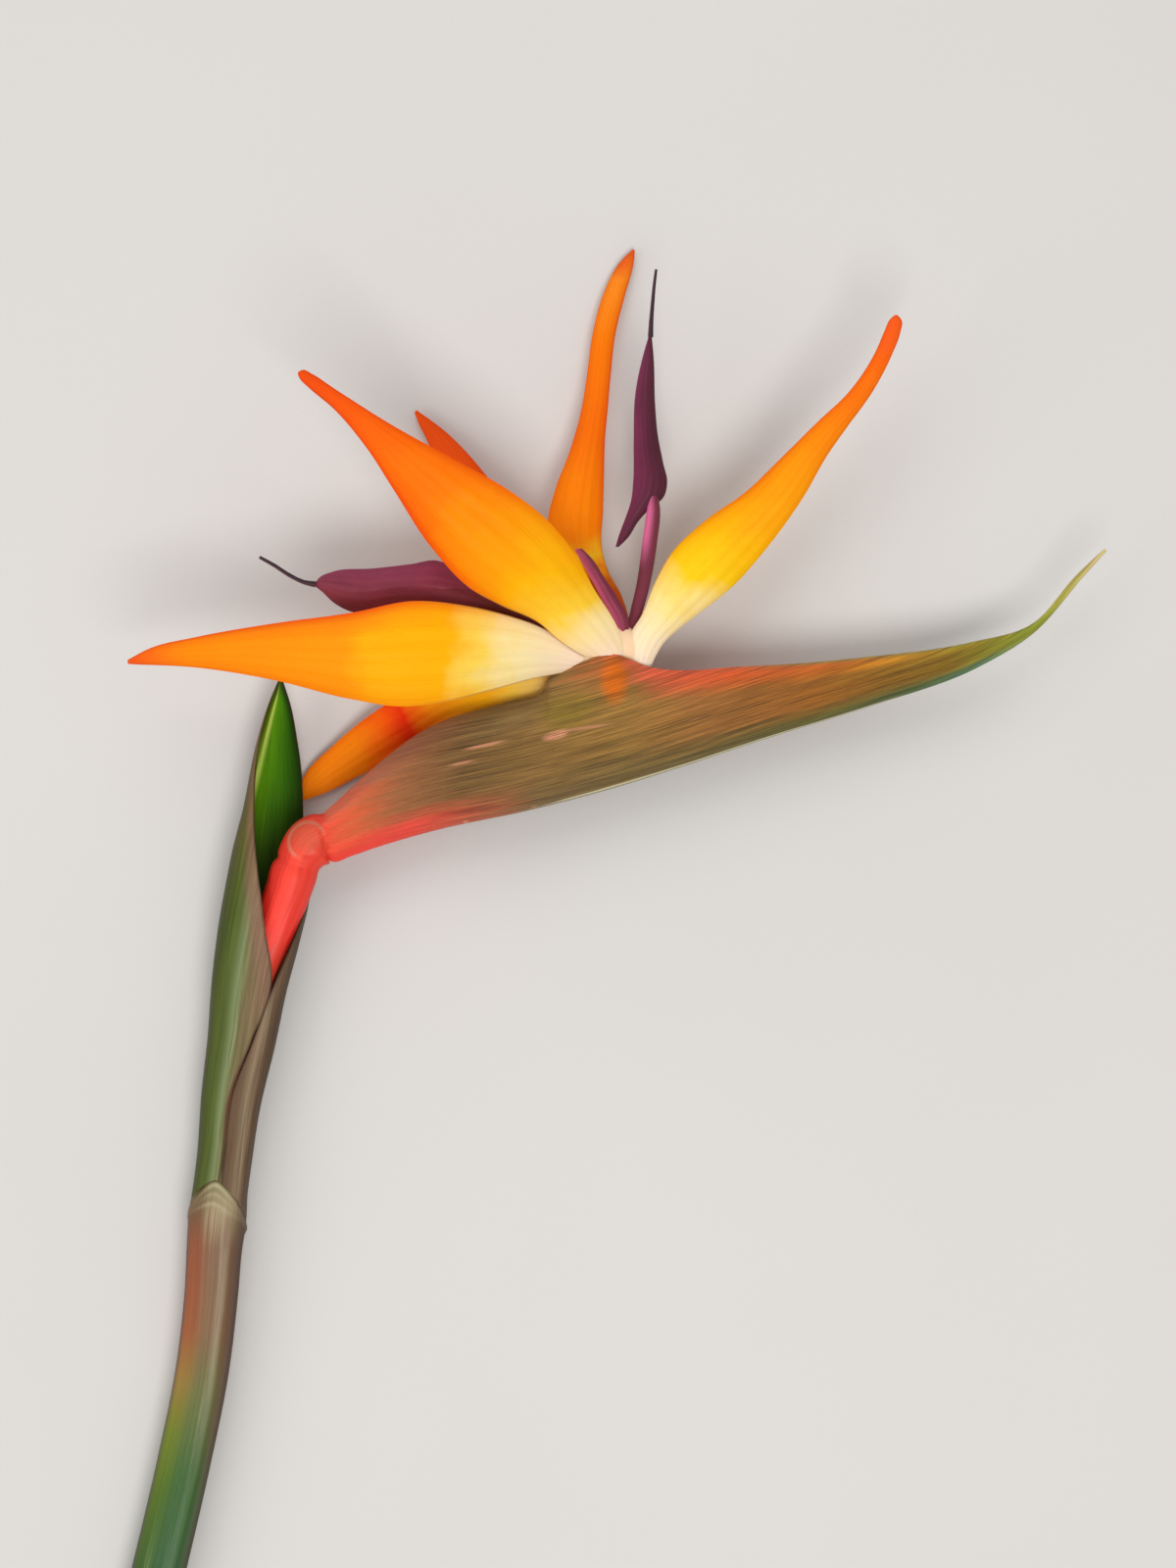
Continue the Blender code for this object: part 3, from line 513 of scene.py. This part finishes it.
class Nodes:
    """Short calls that add and link the nodes of one material."""

    def __init__(self, name):
        self.material = bpy.data.materials.new(name)
        self.material.use_nodes = True
        self.tree = self.material.node_tree
        self.shader = self.tree.nodes["Principled BSDF"]

    def add(self, kind, **settings):
        node = self.tree.nodes.new(kind)
        for key, value in settings.items():
            setattr(node, key, value)
        return node

    def put(self, socket, value):
        if isinstance(value, bpy.types.NodeSocket):
            self.tree.links.new(value, socket)
        else:
            socket.default_value = value

    def attribute(self, name):
        return self.add("ShaderNodeAttribute", attribute_name=name).outputs["Fac"]

    def math(self, operation, first, second=0.0, third=0.0):
        node = self.add("ShaderNodeMath", operation=operation)
        for socket, value in zip(node.inputs, (first, second, third)):
            self.put(socket, value)
        return node.outputs[0]

    def plus(self, first, second):
        return self.math("ADD", first, second)

    def times(self, first, second):
        return self.math("MULTIPLY", first, second)

    def without(self, value):
        """What is left of 1."""
        return self.math("SUBTRACT", 1.0, value)

    def swing(self, pattern, reach):
        """A pattern of 0..1 as a shift about 0 that is reach wide."""
        return self.times(self.math("SUBTRACT", pattern, 0.5), reach)

    def position(self):
        return self.add("ShaderNodeTexCoord").outputs["Object"]

    def combine(self, x, y, z=0.0):
        node = self.add("ShaderNodeCombineXYZ")
        for socket, value in zip(node.inputs, (x, y, z)):
            self.put(socket, value)
        return node.outputs[0]

    def noise(self, vector, scale, detail=4.0, roughness=0.55):
        node = self.add("ShaderNodeTexNoise")
        self.put(node.inputs["Vector"], vector)
        self.put(node.inputs["Scale"], scale)
        self.put(node.inputs["Detail"], detail)
        self.put(node.inputs["Roughness"], roughness)
        return node.outputs["Fac"]

    def cloud(self, scale, detail=3.0):
        """Soft patches, so many to a metre."""
        return self.noise(self.position(), scale, detail)

    def lengthwise(self, across, along, lines, stretch):
        """A streak pattern that runs along the piece."""
        return self.noise(self.combine(self.times(across, lines), self.times(along, stretch)), 1.0, 5.0, 0.6)

    def ramp(self, factor, stops):
        """A blend through linear colours."""
        node = self.add("ShaderNodeValToRGB")
        elements = node.color_ramp.elements
        while len(elements) > 1:
            elements.remove(elements[-1])
        elements[0].position, elements[0].color = stops[0]
        for place, shade in stops[1:]:
            elements.new(place).color = shade
        self.put(node.inputs["Fac"], factor)
        return node.outputs["Color"]

    def colours(self, factor, stops):
        """A blend through colours given as screen values."""
        return self.ramp(factor, [(place, colour(*shade)) for place, shade in stops])

    def mix(self, factor, first, second, blend="MIX"):
        node = self.add("ShaderNodeMix", data_type="RGBA", blend_type=blend)
        self.put(node.inputs[0], factor)
        self.put(node.inputs[6], first)
        self.put(node.inputs[7], second)
        return node.outputs[2]

    def tint(self, base, where, strength, shade):
        """The base with another colour laid over it, as far as where and strength say."""
        return self.mix(self.times(where, strength), base, colour(*shade))

    def shaded(self, base, value):
        """The base made darker or lighter by a number."""
        return self.mix(1.0, base, self.combine(value, value, value), "MULTIPLY")

    def step(self, value, low, high):
        """0 on the side of low, 1 on the side of high, smooth between; it falls where low is the larger."""
        node = self.add("ShaderNodeMapRange", interpolation_type="SMOOTHSTEP")
        self.put(node.inputs["Value"], value)
        self.put(node.inputs["From Min"], low)
        self.put(node.inputs["From Max"], high)
        return node.outputs["Result"]

    def line(self, value, place, near, far):
        """1 where value lies within near of place, 0 beyond far."""
        beside = self.math("ABSOLUTE", self.math("SUBTRACT", value, place))
        return self.without(self.step(beside, near, far))

    def spot(self, place, size, slope=0.0):
        """1 inside an ellipse of the XY plane (millimetres), sloping by so many degrees, 0 outside."""
        mapping = self.add("ShaderNodeMapping", vector_type="TEXTURE")
        self.put(mapping.inputs["Vector"], self.position())
        mapping.inputs["Location"].default_value = (place[0] * MM, place[1] * MM, 0.0)
        mapping.inputs["Rotation"].default_value = (0.0, 0.0, math.radians(slope))
        mapping.inputs["Scale"].default_value = (size[0] * MM, size[1] * MM, 1e6)
        length = self.add("ShaderNodeVectorMath", operation="LENGTH")
        self.put(length.inputs[0], mapping.outputs["Vector"])
        return self.without(self.step(length.outputs["Value"], 0.3, 1.0))

    def bump(self, height, distance, strength=1.0):
        node = self.add("ShaderNodeBump")
        self.put(node.inputs["Height"], height)
        self.put(node.inputs["Distance"], distance)
        self.put(node.inputs["Strength"], strength)
        self.tree.links.new(node.outputs["Normal"], self.shader.inputs["Normal"])

    def finish(self, base, roughness, **sockets):
        self.put(self.shader.inputs["Base Color"], base)
        self.put(self.shader.inputs["Roughness"], roughness)
        for key, value in sockets.items():
            self.put(self.shader.inputs[key.replace("_", " ")], value)
        return self.material


def petal_material(name, stops, rim, rims, joins):
    """Petal tissue: colours along the blade, redder rims, fine lengthwise veins.

    rims holds how strongly the rim colour shows at the left edge, the middle and the right edge, and joins
    how strongly a brown line shows near the base along the left and the right edge."""
    nodes = Nodes(name)
    along, across = nodes.attribute("along"), nodes.attribute("across")
    base = nodes.colours(nodes.plus(along, nodes.swing(nodes.cloud(75.0), 0.22)), stops)
    left, middle, right = rims
    shares = [(0.0, left), (0.10, left * 0.35), (0.3, middle),
              (0.7, middle), (0.90, right * 0.35), (1.0, right)]
    edge = nodes.ramp(nodes.math("MULTIPLY_ADD", across, 0.5, 0.5),
                      [(place, (share, share, share, 1.0)) for place, share in shares])
    base = nodes.tint(base, edge, nodes.step(along, 0.05, 0.55), rim)
    joined = nodes.plus(nodes.times(nodes.step(across, -0.93, -1.0), joins[0]),
                        nodes.times(nodes.step(across, 0.93, 1.0), joins[1]))
    near_base = nodes.without(nodes.step(along, 0.25, 0.45))
    base = nodes.tint(base, joined, near_base, (176, 112, 44))
    streaks = nodes.lengthwise(across, along, 22.0, 3.0)
    veins = nodes.math("MULTIPLY_ADD", nodes.math("SUBTRACT", streaks, 0.5), 0.12, 1.0)
    base = nodes.shaded(base, veins)
    cells = nodes.cloud(2600.0, 2.0)
    nodes.bump(nodes.plus(streaks, nodes.times(cells, 0.25)), 0.00025, 0.6)
    rough = nodes.math("MULTIPLY_ADD", streaks, 0.16, 0.42)
    return nodes.finish(base, rough, Specular_IOR_Level=0.08, Subsurface_Weight=0.12,
                        Subsurface_Radius=(1.0, 0.35, 0.06), Subsurface_Scale=0.0015)


def purple_material(name):
    """Velvety purple petal tissue, with a painted lit side and a painted shaded side."""
    light, dark, painted_lit_side, foot = PURPLES[name]
    nodes = Nodes(name)
    along, across = nodes.attribute("along"), nodes.attribute("across")
    streaks = nodes.lengthwise(across, along, 14.0, 3.0)
    # The split into a lit and a shaded side across the width is painted light and painted shade.
    side = nodes.step(nodes.plus(nodes.times(across, painted_lit_side), nodes.swing(streaks, 0.9)), -0.5, 0.9)
    base = nodes.mix(side, colour(*dark), colour(*light))
    if foot:
        base = nodes.mix(nodes.step(along, 0.72, 0.5), base, colour(*foot))
    base = nodes.shaded(base, nodes.math("MULTIPLY_ADD", nodes.cloud(160.0), 0.5, 0.75))
    nodes.bump(streaks, 0.0003, 0.6)
    rough = nodes.math("MULTIPLY_ADD", streaks, 0.2, 0.42)
    return nodes.finish(base, rough, Specular_IOR_Level=0.22, Sheen_Weight=0.06, Sheen_Roughness=0.4)


def spathe_material():
    """The boat-shaped bract: coral at the base, bronze flanks, olive keel, orange margin, pale whisker, with
    a painted highlight along the keel and painted glints.
    """
    nodes = Nodes("spathe")
    along, rise, stream = nodes.attribute("along"), nodes.attribute("rise"), nodes.attribute("stream")
    streaks = nodes.lengthwise(stream, along, 30.0, 3.4)
    fine = nodes.lengthwise(stream, along, 150.0, 12.0)
    wobble = nodes.swing(streaks, 0.30)
    level = nodes.plus(rise, wobble)
    shifted = nodes.plus(along, nodes.times(wobble, 0.35))
    keel, flank, margin = (nodes.colours(shifted, stops + WHISKER_STOPS) for stops in SPATHE_STOPS)
    base = nodes.mix(nodes.step(level, 0.06, 0.34), keel, flank)
    base = nodes.mix(nodes.step(level, 0.66, 0.95), base, margin)
    lip = nodes.times(nodes.step(rise, 0.93, 0.99), nodes.step(along, 0.52, 0.64))
    base = nodes.tint(base, lip, 0.7, (158, 148, 40))
    base = nodes.tint(base, nodes.spot(*ORANGE_PATCH), 0.9, (232, 112, 0))
    base = nodes.tint(base, nodes.spot(*OLIVE_PATCH), 0.5, (140, 120, 30))
    grain = nodes.math("SUBTRACT", nodes.plus(nodes.times(streaks, 1.2), nodes.times(fine, 2.4)), 0.94)
    base = nodes.mix(nodes.step(along, 0.04, 0.22), base, nodes.shaded(base, grain))
    # Pale dashes along the fibres are painted glints, kept to soft patches.
    glints = nodes.step(nodes.lengthwise(stream, along, 210.0, 26.0), 0.66, 0.74)
    glint_patches = nodes.step(nodes.cloud(38.0, 2.0), 0.46, 0.62)
    base = nodes.tint(base, nodes.times(glints, glint_patches), 0.55, (206, 176, 130))
    near = nodes.step(nodes.attribute("side"), 0.0, 0.04)
    torn_fibres = nodes.times(near, nodes.step(fine, 0.36, 0.5))
    for place, size, slope, strength in SPATHE_SCARS:
        torn = nodes.times(nodes.spot(place, size, slope), torn_fibres)
        base = nodes.tint(base, torn, strength, (232, 156, 120))
    # A thin pale line beside the keel on the near flank is a painted highlight.
    stretch = nodes.math("SUBTRACT", nodes.step(along, 0.26, 0.34), nodes.step(along, 0.66, 0.74))
    keel_highlight = nodes.times(nodes.line(rise, 0.013, 0.004, 0.010), stretch)
    base = nodes.tint(base, nodes.times(keel_highlight, near), 0.8, (224, 216, 172))
    base = nodes.tint(base, nodes.attribute("inner"), 0.8, (206, 176, 104))
    nodes.bump(nodes.plus(streaks, nodes.times(fine, 0.8)), 0.0006, 0.8)
    return nodes.finish(base, nodes.math("MULTIPLY_ADD", fine, 0.3, 0.32), Specular_IOR_Level=0.2)


def stem_material():
    """The scape: green below, orange-brown under the node, coral neck and knuckle, with painted highlights (a
    pale gloss line, one low on the left, the node rings) and painted shade at its sides.
    """
    nodes = Nodes("stem")
    along, across, front = nodes.attribute("along"), nodes.attribute("across"), nodes.attribute("front")
    streaks = nodes.lengthwise(nodes.plus(across, nodes.times(front, 1.7)), along, 11.0, 5.0)
    shifted = nodes.plus(along, nodes.swing(streaks, 0.05))
    left, middle, right = (nodes.colours(shifted, stops) for stops in STEM_STOPS)
    turn = nodes.plus(across, nodes.swing(streaks, 0.7))
    base = nodes.mix(nodes.step(turn, -0.72, 0.02), left, middle)
    base = nodes.mix(nodes.step(turn, 0.42, 0.92), base, right)
    # Painted highlights: a pale gloss line up the stem below the node, and a second one low on the left.
    gloss = nodes.line(turn, 0.40, 0.0, 0.2)
    below_node = nodes.without(nodes.step(along, 0.53, 0.58))
    shine = nodes.colours(along, [(0.30, (118, 150, 104)), (0.40, (190, 180, 150))])
    base = nodes.mix(nodes.times(nodes.times(gloss, below_node), 0.34), base, shine)
    low_highlight = nodes.times(nodes.line(turn, -0.42, 0.0, 0.16), nodes.step(along, 0.30, 0.18))
    base = nodes.tint(base, low_highlight, 0.4, (160, 178, 112))
    # Both sides of the stem below the node are darkened: painted shade where the round stem turns away.
    outline = nodes.step(nodes.math("ABSOLUTE", across), 0.82, 1.0)
    base = nodes.tint(base, nodes.times(outline, below_node), 0.75, (70, 48, 28))
    base = nodes.tint(base, nodes.spot(*KNUCKLE_PATCH), 0.6, (204, 90, 58))
    mark = nodes.attribute("mark")
    base = nodes.tint(base, nodes.step(mark, 0.0, 1.0), 0.6, (200, 188, 150))
    base = nodes.tint(base, nodes.step(mark, 0.0, -1.0), 0.6, (62, 46, 28))
    base = nodes.shaded(base, nodes.math("MULTIPLY_ADD", streaks, 0.8, 0.56))
    cut = nodes.attribute("cut")
    pith = nodes.colours(cut, PITH_STOPS)
    bundles = nodes.step(nodes.cloud(1500.0, 1.0), 0.56, 0.66)
    pith = nodes.tint(pith, bundles, 0.5, (112, 124, 66))
    base = nodes.mix(nodes.step(cut, 0.0, 0.03), base, pith)
    nodes.bump(streaks, 0.0004, 0.5)
    return nodes.finish(base, nodes.math("MULTIPLY_ADD", streaks, 0.2, 0.3), Specular_IOR_Level=0.22)


def sheath_material():
    """The clasping bract: olive outside with a light stripe and a pinkish margin, bright green inside, with
    painted highlights and painted shade on both faces.

    turn runs round the outside from the front (0) over the left edge (0.25) and the back (0.5)."""
    nodes = Nodes("sheath")
    along, around, turn = nodes.attribute("along"), nodes.attribute("around"), nodes.attribute("turn")
    streaks = nodes.lengthwise(turn, along, 70.0, 5.0)
    drift = nodes.swing(streaks, 0.06)
    outside = nodes.colours(nodes.plus(turn, drift), SHEATH_OUTSIDE_STOPS)
    pink = nodes.without(nodes.step(around, 0.03, 0.12))
    upper = nodes.step(along, 0.28, 0.44)
    outside = nodes.tint(outside, nodes.times(pink, upper), 0.8, (142, 104, 84))
    outside = nodes.tint(outside, nodes.step(along, 0.55, 0.8), 0.5, (112, 90, 46))
    rim = nodes.step(nodes.math("ABSOLUTE", nodes.math("SUBTRACT", around, 0.5)), 0.485, 0.5)
    outside = nodes.tint(outside, rim, 0.8, (74, 50, 36))
    inside = nodes.colours(nodes.plus(around, drift), SHEATH_INSIDE_STOPS)
    # The lower inside of the sheath is darkened: painted shade deep in the roll.
    depth_shade = nodes.without(nodes.step(along, 0.62, 0.84))
    inside = nodes.tint(inside, depth_shade, 0.85, (34, 44, 0))
    inner = nodes.attribute("inner")
    base = nodes.mix(inner, outside, inside)
    base = nodes.tint(base, nodes.step(along, 0.96, 1.0), 0.8, (48, 44, 20))
    base = nodes.shaded(base, nodes.math("MULTIPLY_ADD", streaks, 1.5, 0.2))
    nodes.bump(streaks, 0.0004, 0.6)
    rough = nodes.math("MULTIPLY_ADD", streaks, 0.2, nodes.math("MULTIPLY_ADD", inner, 0.3, 0.3))
    return nodes.finish(base, rough, Specular_IOR_Level=0.12)


def base_material():
    """Cream floral tissue inside the mouth of the spathe."""
    nodes = Nodes("floral_base")
    cloud = nodes.cloud(220.0)
    base = nodes.colours(nodes.plus(nodes.attribute("along"), nodes.swing(cloud, 0.2)),
                         [(0.0, (214, 206, 140)), (0.6, (242, 212, 150)), (1.0, (252, 212, 170))])
    nodes.bump(cloud, 0.0004, 0.5)
    return nodes.finish(base, nodes.math("MULTIPLY_ADD", cloud, 0.2, 0.4), Subsurface_Weight=0.1,
                        Subsurface_Radius=(1.0, 0.6, 0.3), Subsurface_Scale=0.002)


def floor_material():
    nodes = Nodes("floor")
    cloud = nodes.cloud(6.0)
    base = nodes.mix(cloud, colour(212, 208, 203), colour(218, 214, 210))
    nodes.bump(nodes.cloud(900.0, 2.0), 0.0001, 0.3)
    return nodes.finish(base, nodes.math("MULTIPLY_ADD", cloud, 0.06, 0.85), Specular_IOR_Level=0.2)


# ---------------------------------------------------------------- pieces


def settle(piece, node):
    """The piece rides the one body and stands for its CAD node."""
    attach(piece, "root")
    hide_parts(node)


def make_spathe():
    """A folded boat: each section runs from one margin round the keel to the other."""
    # The curve is spaced by its first three columns: margin x, margin y and median z
    rows = [(*row[:2], row[4], *row[2:4], *row[5:]) for row in SPATHE]
    along = smooth_through(rows, np.linspace(0.0, 1.0, BRACT_ROWS))
    margin = along[:, None, [0, 1]]
    median = along[:, None, 2]
    keel = along[:, None, [3, 4]]
    half, gap = along[:, None, 5], along[:, None, 6]
    s = np.linspace(-1.0, 1.0, BRACT_COLUMNS)[None, :]
    reach = math.pi - np.arcsin(np.clip(gap / half, 0.0, 0.9))
    share = np.linspace(0.0, 1.0, BRACT_ROWS)[:, None]
    angle = reach * s
    rise = (1.0 - np.cos(angle)) / (1.0 - np.cos(reach))
    pinch = 1.0 - KEEL_PINCH * np.cos(angle / 2.0)**4
    height = np.linalg.norm(margin - keel, axis=-1)
    pleats = PLEATS[0] * np.sin(PLEATS[1] * angle + 4.0 * share) * (1.0 - smoothstep(0.05, 0.3, share))

    def face(inset):
        in_plane = keel + (margin - keel) * (inset / height * np.cos(angle) + rise)[..., None]
        depth = median + (half - inset + pleats * np.minimum(half, 4.0) / 4.0) * np.sin(angle) * pinch
        return np.dstack((in_plane[..., 0], in_plane[..., 1], depth))

    wall = np.minimum(SPATHE_WALL, 0.4 * half) * (1.0 - 0.7 * s**8)
    length = np.linalg.norm(np.diff(keel[:, 0], axis=0), axis=1).sum()
    stream = rise * height / length * 5.0
    attributes = {"along": share + 0.0 * s, "rise": rise, "stream": stream, "side": s + 0.0 * share}
    piece = sheet("spathe_skin", face(0.0 * wall), face(wall), attributes, spathe_material())
    settle(piece, "spathe")


def make_sheath():
    """A rolled leaf: wrapped right round the stem at its foot, opening to a pointed blade."""
    along = smooth_through(SHEATH, np.linspace(0.0, 1.0, BRACT_ROWS))
    centres = along[:, None, :3]
    width, depth = along[:, None, 3], along[:, None, 4]
    tangents = unit(np.gradient(along[:, :3], axis=0))
    across = unit(np.cross(tangents, (0.0, 0.0, 1.0)))[:, None]
    upward = np.cross(across[:, 0], tangents)[:, None]
    share = np.linspace(0.0, 1.0, BRACT_COLUMNS)[None, :]
    rows = np.linspace(0.0, 1.0, BRACT_ROWS)[:, None]
    angle = np.radians(along[:, None, 5] * (1.0 - share) + along[:, None, 6] * share)
    wall = np.minimum(SHEATH_WALL, 0.6 * depth) * (1.0 - 0.6 * (2.0 * share - 1.0)**8)
    low = 1.0 - smoothstep(0.0, 0.16, rows)
    tuck = 0.5 * smoothstep(0.75, 1.0, share) * (1.0 - smoothstep(0.3, 0.5, rows)) * (1.0 - low)
    wall = wall * (1.0 - 0.8 * low)
    rise, drop, last = SHEATH_FOOT
    foot = low * (rise - drop * np.minimum(away_from_front(angle), last))

    def face(inset):
        return (centres
                + tangents[:, None] * foot[..., None]
                + across * ((width - inset - tuck) * np.cos(angle))[..., None]
                + upward * ((depth - inset - tuck) * np.sin(angle))[..., None])

    turn = (np.degrees(angle) - 90.0) / 360.0
    attributes = {"along": rows + 0.0 * share, "around": share + 0.0 * rows, "turn": turn}
    piece = sheet("sheath_skin", face(0.0 * wall), face(wall), attributes, sheath_material())
    settle(piece, "sheath_bract")


def away_from_front(angle):
    """Angle away from the front of the node, in radians, rounded off at the front itself."""
    turned = angle - FRONT_TURN
    return np.sqrt(np.arctan2(np.cos(turned), np.sin(turned))**2 + FRONT_ROUNDING)


def stem_relief(share, angle, centres):
    """What node, ridges, creases and knuckle add to the radius of the stem, and its marks."""
    x, y = centres[:, 0][:, None], centres[:, 1][:, None]
    away = away_from_front(angle)
    rings = sum(size * bell(y, front_y - drop * away, RING_WIDTH) for front_y, drop, size in NODE_RINGS)
    ridges = 0.10 * np.sin(7.0 * angle + 1.0) + 0.06 * np.sin(13.0 * angle)
    ridges = ridges * (1.0 - smoothstep(20.0, 32.0, y))
    wrinkles = 0.07 * np.sin(5.0 * angle + 2.0 * np.sin(3.0 * share)) * smoothstep(26.0, 36.0, y)

    inner_side = np.maximum(np.cos(angle), 0.0)
    neck_y, neck_height = NECK_CREASE
    joint_x, joint_height = JOINT_CREASE
    neck_crease = neck_height * bell(y, neck_y, CREASE_WIDTH)
    joint_crease = joint_height * bell(x, joint_x, CREASE_WIDTH) * smoothstep(36.0, 40.0, y)
    creases = (neck_crease + joint_crease) * (1.0 - inner_side)
    heel_y, heel_width, heel_height = HEEL
    heel = heel_height * bell(y, heel_y, heel_width) * inner_side**1.5

    steps = np.linalg.norm(np.diff(centres, axis=0, prepend=centres[:1]), axis=1)
    along_axis = np.cumsum(steps)[:, None]
    past_joint = along_axis - along_axis[np.argmin(np.hypot(x - KNUCKLE[0], y - KNUCKLE[1]))]
    from_disc = np.hypot(past_joint, KNUCKLE_RADIUS * np.cos(angle))
    facing = smoothstep(0.0, 0.3, np.sin(angle))
    disc = DISC_HEIGHT * (1.0 - smoothstep(DISC_RADIUS - 0.7, DISC_RADIUS + 0.3, from_disc)) * facing

    # The raised node rings are paled most at the front: a painted highlight.
    ring_highlights = np.clip(rings / 0.2, 0.0, 1.0) * (0.25 + 0.75 * bell(away, 0.0, 0.7))
    top_y, top_drop, _ = NODE_RINGS[0]
    dark_line = bell(y, top_y + 1.0 - top_drop * away, 0.4)
    outer_side = 1.0 - smoothstep(-0.3, 0.5, np.cos(angle))
    pale_disc_rim = 0.55 * bell(from_disc, DISC_RADIUS, 0.45) * facing * outer_side
    return rings + ridges + creases + heel + disc + wrinkles, ring_highlights - dark_line + pale_disc_rim


def make_stem():
    piece = tube("stem_skin", STEM, STEM_ROWS, stem_material(), stem_relief)
    settle(piece, "stem")


def make_flowers():
    for node, shape in SEPALS.items():
        settle(blade(f"{node}_skin", shape, petal_material(node, *SEPAL_LOOKS[node])), node)
    for node, shape in ARROWS.items():
        outline = dict(ARROW_SHAPE, left=shape["left"], right=shape["right"])
        settle(blade(f"{node}_blade", outline, purple_material(node)), node)
        stalk = f"{node}_stalk"
        settle(tube(stalk, shape["stalk"], STALK_ROWS, purple_material(stalk)), node)
    dark = purple_material("style")
    for node, stations in STYLES.items():
        settle(tube(f"{node}_skin", stations, STYLE_ROWS, dark), node)
    settle(blade("nectary_skin", NECTARY, purple_material("nectary")), "nectary_petal")
    cream = base_material()
    for node, stations in FLOWER_BASES.items():
        settle(tube(f"{node}_skin", stations, BASE_ROWS, cream, depth=BASE_DEPTH), node)


# ---------------------------------------------------------------- stage


def make_camera():
    data = bpy.data.cameras.new("camera")
    data.sensor_fit = "VERTICAL"
    data.sensor_height = SENSOR
    data.lens = SENSOR * CAMERA_HEIGHT / VIEW_HEIGHT
    camera = bpy.data.objects.new("camera", data)
    camera.location = (*VIEW_CENTRE, CAMERA_HEIGHT)
    bpy.context.scene.collection.objects.link(camera)
    bpy.context.scene.camera = camera


def area_light(name, place, size, power):
    """A soft lamp aimed at the middle of the flower."""
    data = bpy.data.lights.new(name, "AREA")
    data.shape = "DISK"
    data.size = size
    data.energy = power
    lamp = bpy.data.objects.new(name, data)
    lamp.location = place
    direction = -np.array(place)
    lamp.rotation_euler = (math.atan2(math.hypot(direction[0], direction[1]), -direction[2]), 0.0,
                           math.atan2(-direction[0], direction[1]))
    bpy.context.scene.collection.objects.link(lamp)


def make_stage():
    mesh = bpy.data.meshes.new("floor")
    corners = [(x * FLOOR_REACH, y * FLOOR_REACH, 0.0) for x, y in ((-1, -1), (1, -1), (1, 1), (-1, 1))]
    mesh.from_pydata(corners, [], [(0, 1, 2, 3)])
    floor = bpy.data.objects.new("floor", mesh)
    mesh.materials.append(floor_material())
    bpy.context.scene.collection.objects.link(floor)
    for name, (place, size, power) in LAMPS.items():
        area_light(name, place, size, power)
    world = bpy.data.worlds.new("studio")
    world.use_nodes = True
    background = world.node_tree.nodes["Background"]
    background.inputs["Color"].default_value = SKY_COLOUR
    background.inputs["Strength"].default_value = SKY_STRENGTH
    bpy.context.scene.world = world
    bpy.context.scene.view_settings.view_transform = "Standard"


make_camera()
make_stage()
make_stem()
make_sheath()
make_spathe()
make_flowers()
